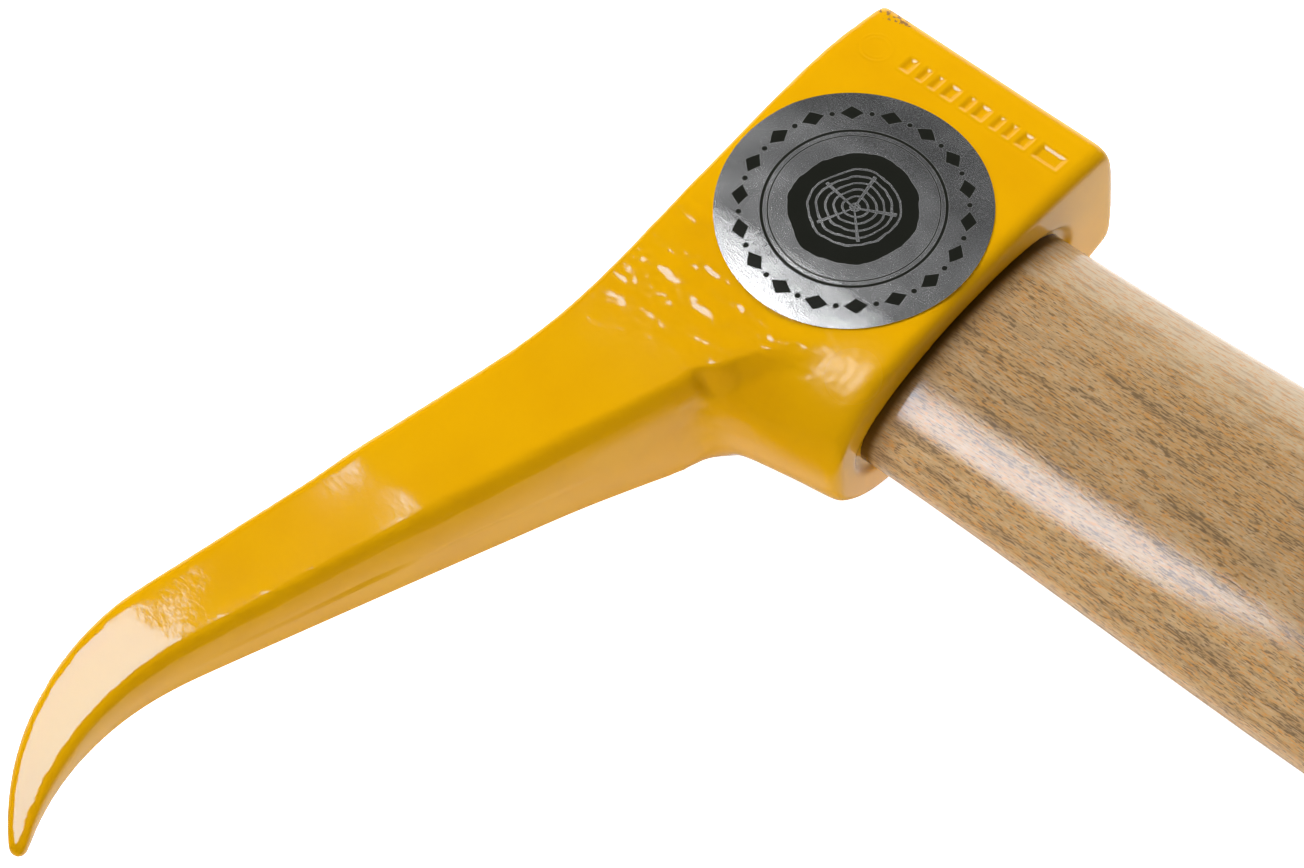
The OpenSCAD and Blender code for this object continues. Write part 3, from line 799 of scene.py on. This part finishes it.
# %% [markdown]
# The wedges. The wooden one is a paler, plainer hardwood, sawn off flush and left bare. The
# round one is turned steel: a fine spiral of tool marks round its axis, with an oiled sheen.

# %% Bare hardwood of the wooden wedge
WEDGE_PALE, WEDGE_TAN, WEDGE_PORE = (0.72, 0.54, 0.32), (0.62, 0.43, 0.23), (0.34, 0.21, 0.11)

wedge_wood, tree, shader = new_material("bare hardwood")
place = add(tree, "TexCoord", out=3)
wood = use_group(tree, grain, Place=place, Ring_Width=0.0012, Waviness=0.0008, Pore_Length=0.001,
                 Pore_Width=0.00015).outputs
color = blend_colors(tree, fade(tree, wood["Ring"], 0.2, 0.9), WEDGE_PALE, WEDGE_TAN)
color = blend_colors(tree, fade(tree, wood["Pores"], 0.56, 0.66, 0.0, 0.6), color, WEDGE_PORE)
tree.links.new(color, shader.inputs["Base Color"])
shader.inputs["Roughness"].default_value = 0.6
tree.links.new(add(tree, "Bump", Strength=0.4, Distance=0.00005, invert=True, Height=wood["Pores"]),
               shader.inputs["Normal"])
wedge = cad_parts["wooden_wedge"]
wedge.data.materials.clear()
wedge.data.materials.append(wedge_wood)
print("Bare hardwood:", len(tree.nodes), "nodes")

# %% Turned steel of the ring wedge
STEEL_BRIGHT, STEEL_BROWN = (0.52, 0.52, 0.53), (0.33, 0.30, 0.28)
TOOL_MARK = 0.00025

turned, tree, shader = new_material("turned steel")
place = add(tree, "TexCoord", out=3)
apart = add(tree, "SeparateXYZ", Vector=place).node.outputs
radius = add(tree, "VectorMath", operation="LENGTH", out=1, i0=add(
    tree, "CombineXYZ", i0=apart[1], i1=sums(tree, "SUBTRACT", apart[2], MIDDLE_Z)))
spiral = sums(tree, "MULTIPLY", sums(tree, "ADD", radius, apart[0]), 2 * math.pi / TOOL_MARK)
spiral = sums(tree, "SINE", spiral)
stain = add(tree, "TexNoise", Vector=place, Scale=500.0, Detail=4.0)
tree.links.new(blend_colors(tree, fade(tree, stain, 0.45, 0.75), STEEL_BRIGHT, STEEL_BROWN),
               shader.inputs["Base Color"])
tree.links.new(fade(tree, stain, 0.4, 0.7, 0.28, 0.5), shader.inputs["Roughness"])
tree.links.new(add(tree, "Bump", Strength=0.3, Distance=0.00002, Height=spiral), shader.inputs["Normal"])
shader.inputs["Metallic"].default_value = 1
ring_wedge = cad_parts["ring_wedge"]
ring_wedge.data.materials.clear()
ring_wedge.data.materials.append(turned)
print("Turned steel:", len(tree.nodes), "nodes")

# %% [markdown]
# The label. A disc of printed silver foil, 0.2 mm thick, pressed over the bulged cheek. A
# radius is spun into a disc and each vertex drops onto the cheek's arc.

# %% Label disc
LABEL_R, LABEL_Y, LABEL_THICK, GLUE = 20.0, 1.5, 0.2, 0.01
CHEEK_R, LAND_HALF = 163, 10.0
RADIUS_STEPS, TURN_STEPS, RIM_SHARP = 24, 128, 40

bm = bmesh.new()
line = [bm.verts.new((LABEL_R * MM * i / RADIUS_STEPS, 0, 0)) for i in range(RADIUS_STEPS + 1)]
line += [bm.edges.new(pair) for pair in zip(line, line[1:])]
bmesh.ops.spin(bm, geom=line, axis=(0, 0, 1), cent=(0, 0, 0), angle=2 * math.pi, steps=TURN_STEPS,
               use_merge=True)
bmesh.ops.remove_doubles(bm, verts=bm.verts, dist=1e-7)
bmesh.ops.translate(bm, vec=(0, LABEL_Y * MM, 0), verts=bm.verts)
bmesh.ops.recalc_face_normals(bm, faces=bm.faces)


def cheek_height(y):
    """Height of the upper cheek at y, in millimetres: a flat land, then the cheek's arc."""
    return min(HEAD_THICK, HEAD_THICK + (LAND_HALF ** 2 - y * y) / (2 * CHEEK_R))


for v in bm.verts:
    v.co.z = (cheek_height(v.co.y / MM) + GLUE + LABEL_THICK) * MM
if bm.faces[:][0].normal.z < 0:
    bmesh.ops.reverse_faces(bm, faces=bm.faces)
bmesh.ops.solidify(bm, geom=bm.faces[:], thickness=LABEL_THICK * MM)
for f in bm.faces:
    f.smooth = True
for e in bm.edges:
    e.smooth = e.calc_face_angle(0) < math.radians(RIM_SHARP)
label = keep("foil_label", bm)
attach(label, "root")
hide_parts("label")
print("Label:", len(label.data.polygons), "faces")

# %% [markdown]
# The print is a plain pattern: a black log end with silver growth rings inside two thin
# rings, and a band of lozenges and dots. Its masks are sums on the polar coordinates of the
# disc, in shares of its radius, so that every edge stays sharp however near the camera is.

# %% Print: rings, lozenges and dots
BAND_AT, BAND_COUNT = 0.82, 18
LOZENGE_LONG, LOZENGE_WIDE, DOT_R = 0.088, 0.062, 0.022
THICK_RING, THIN_RING = (0.66, 0.0125), (0.615, 0.006)

foil, tree, shader = new_material("printed foil")
place = add(tree, "TexCoord", out=3)
flat = add(tree, "VectorMath", operation="MULTIPLY_ADD", i0=place,
           i1=(1 / (LABEL_R * MM), 1 / (LABEL_R * MM), 0.0), i2=(0.0, -LABEL_Y / LABEL_R, 0.0))
apart = add(tree, "SeparateXYZ", Vector=flat).node.outputs
radius = add(tree, "VectorMath", operation="LENGTH", out=1, i0=flat)
turn = sums(tree, "DIVIDE", sums(tree, "ARCTAN2", apart[1], apart[0]), 2 * math.pi)


def gap_from(value, middle):
    """How far a wire is from a middle, either way."""
    return sums(tree, "ABSOLUTE", sums(tree, "SUBTRACT", value, middle))


def printed(value, edge, soft):
    """A mask that is 1 below an edge and 0 above it, with a slightly soft step."""
    return fade(tree, value, edge - soft, edge + soft, 1.0, 0.0)


def arc_from(count, start, scale):
    """Distance along the arc from the nearest of a count of even marks."""
    cell = gap_from(sums(tree, "FRACT", sums(tree, "MULTIPLY_ADD", turn, count, start)), 0.5)
    return sums(tree, "MULTIPLY", cell, sums(tree, "MULTIPLY", scale, 2 * math.pi / count))


band = gap_from(radius, BAND_AT)
lozenge = sums(tree, "ADD", sums(tree, "DIVIDE", arc_from(BAND_COUNT, 0.0, BAND_AT), LOZENGE_LONG),
               sums(tree, "DIVIDE", band, LOZENGE_WIDE))
dot = add(tree, "VectorMath", operation="LENGTH", out=1, i0=add(
    tree, "CombineXYZ", i0=arc_from(BAND_COUNT, 0.5, BAND_AT), i1=band))
ink = sums(tree, "MAXIMUM", printed(lozenge, 1.0, 0.04), printed(dot, DOT_R, 0.003))
for ring_at, half in (THICK_RING, THIN_RING):
    ink = sums(tree, "MAXIMUM", ink, printed(gap_from(radius, ring_at), half, 0.003))
print("Rings, lozenges and dots:", len(tree.nodes), "nodes")

# %% Print: the log end
LOG_R, RINGS_R, SPLITS_R = 0.473, 0.3575, 0.2925
LOG_RINGS, LOG_SPLITS, LOG_WOBBLE = 17.0, 5, 0.13

wobble = add(tree, "TexNoise", Vector=flat, Scale=2.6, Detail=3.0)
grown = sums(tree, "MULTIPLY_ADD", sums(tree, "SUBTRACT", wobble, 0.5), LOG_WOBBLE, radius)
lines = gap_from(sums(tree, "FRACT", sums(tree, "MULTIPLY", grown, LOG_RINGS)), 0.5)
lines = sums(tree, "MULTIPLY", printed(lines, 0.12, 0.03), printed(grown, RINGS_R, 0.0025))
split = sums(tree, "SUBTRACT", arc_from(LOG_SPLITS, 0.13, grown), sums(tree, "MULTIPLY", radius, 0.03))
split = sums(tree, "MULTIPLY", printed(split, 0.0035, 0.0025), printed(grown, SPLITS_R, 0.0025))
log_end = sums(tree, "MULTIPLY", printed(grown, LOG_R, 0.003),
               sums(tree, "SUBTRACT", 1.0, sums(tree, "MAXIMUM", lines, split)))
ink = sums(tree, "MAXIMUM", ink, log_end)
print("Printed pattern:", len(tree.nodes), "nodes")

# %% [markdown]
# The foil. Rolled foil is brushed by its rollers, so its highlight is drawn out across the
# rolling direction: that is the shader's anisotropy. The disc is not stuck flat to the bulge
# but a little slack, so it turns from white to dark grey faster than the cheek beneath does.
# A height that bends the normal steadily along y gives that without moving the disc, and
# fine specks in tone and height are the foil's sparkle.

# %% Foil
FOIL, INK = (0.88, 0.89, 0.90), (0.012, 0.013, 0.010)
SPECK_DARK, SPECK_DEEP = 0.62, 0.00002
SLACK = 2.2
ROLLING = (0.0, 1.0, 0.0)

speck = add(tree, "TexNoise", Vector=place, Scale=5200.0, Detail=2.0)
smear = add(tree, "TexNoise", Vector=place, Scale=160.0, Detail=3.0)
silver = blend_colors(tree, fade(tree, speck, 0.35, 0.65), tuple(SPECK_DARK * c for c in FOIL), FOIL)
tree.links.new(blend_colors(tree, ink, silver, INK), shader.inputs["Base Color"])
tree.links.new(sums(tree, "SUBTRACT", 1.0, ink), shader.inputs["Metallic"])
tree.links.new(fade(tree, smear, 0.3, 0.7, 0.195, 0.225), shader.inputs["Roughness"])
shader.inputs["Specular IOR Level"].default_value = 0.12
shader.inputs["Anisotropic"].default_value = 0.76
rolled = add(tree, "VectorTransform", vector_type="VECTOR", convert_from="OBJECT",
             convert_to="WORLD", Vector=ROLLING)
tree.links.new(rolled, shader.inputs["Tangent"])
dome = -0.5 * SLACK * (LABEL_R * MM) ** 2
slack = sums(tree, "MULTIPLY", sums(tree, "MULTIPLY", apart[1], apart[1]), dome)
slack = add(tree, "Bump", Strength=1.0, Distance=1.0, Height=slack)
tree.links.new(add(tree, "Bump", Strength=1.0, Distance=SPECK_DEEP, Height=speck, Normal=slack),
               shader.inputs["Normal"])
label.data.materials.append(foil)
print("Printed foil:", len(tree.nodes), "nodes")
